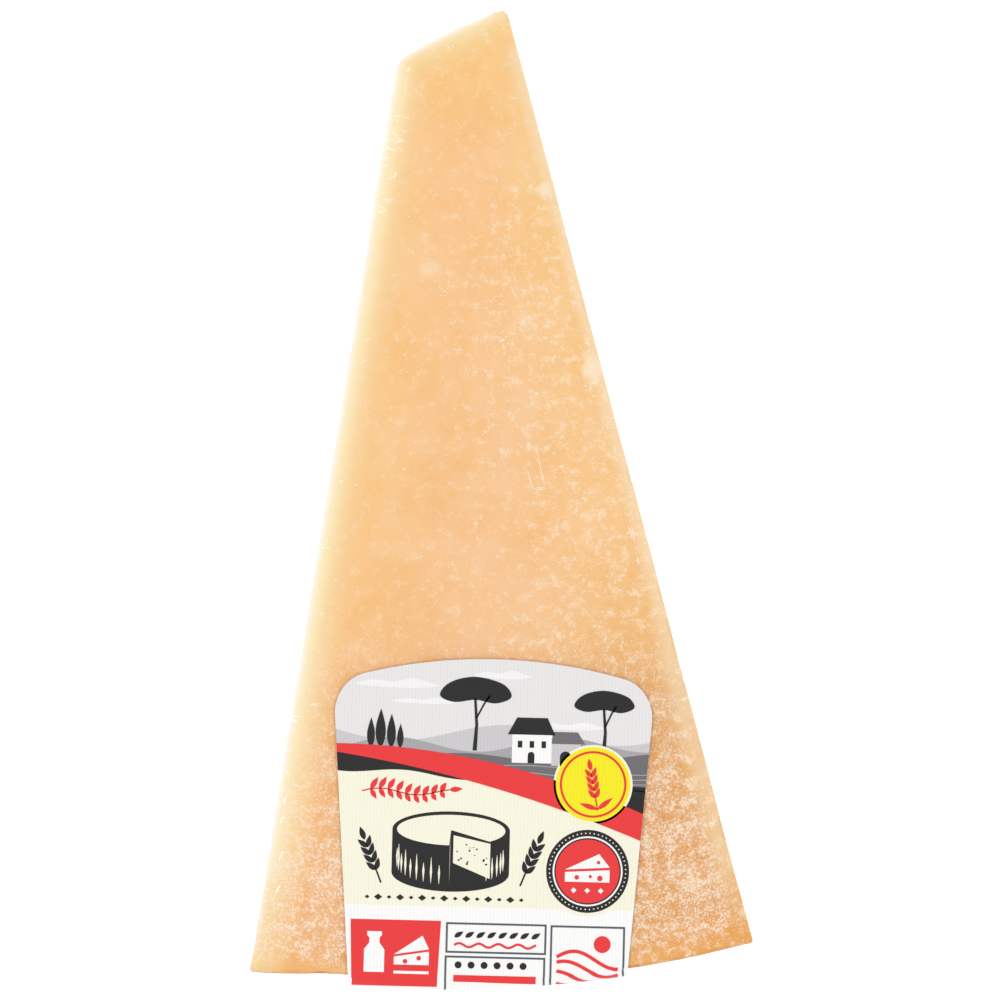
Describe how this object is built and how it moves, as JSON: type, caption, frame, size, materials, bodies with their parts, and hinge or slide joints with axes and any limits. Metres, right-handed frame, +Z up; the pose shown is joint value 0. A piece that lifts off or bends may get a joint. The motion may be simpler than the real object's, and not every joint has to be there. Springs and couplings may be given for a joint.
{
  "type": "parmesan chunk",
  "caption": "Wedge of hard cheese cut from a wheel, with its tip cut off, in close-fitting clear film, with a paper label folded over its rind edge.",
  "frame": {"origin": "centre of the object's box on the surface that it lies on", "axes": "+Y from the rind towards the cut tip, +Z up out of the labelled face, +X to the right of someone who looks at that face with the rind towards them"},
  "size_m": [0.0896, 0.1742, 0.0366],
  "materials": {
    "cheese": "moist hard cheese under clear film",
    "film": "thin clear glossy film",
    "label": "printed laid paper"
  },
  "bodies": {
    "root": {"cheese": "cheese", "label": "label"}
  },
  "joints": []
}
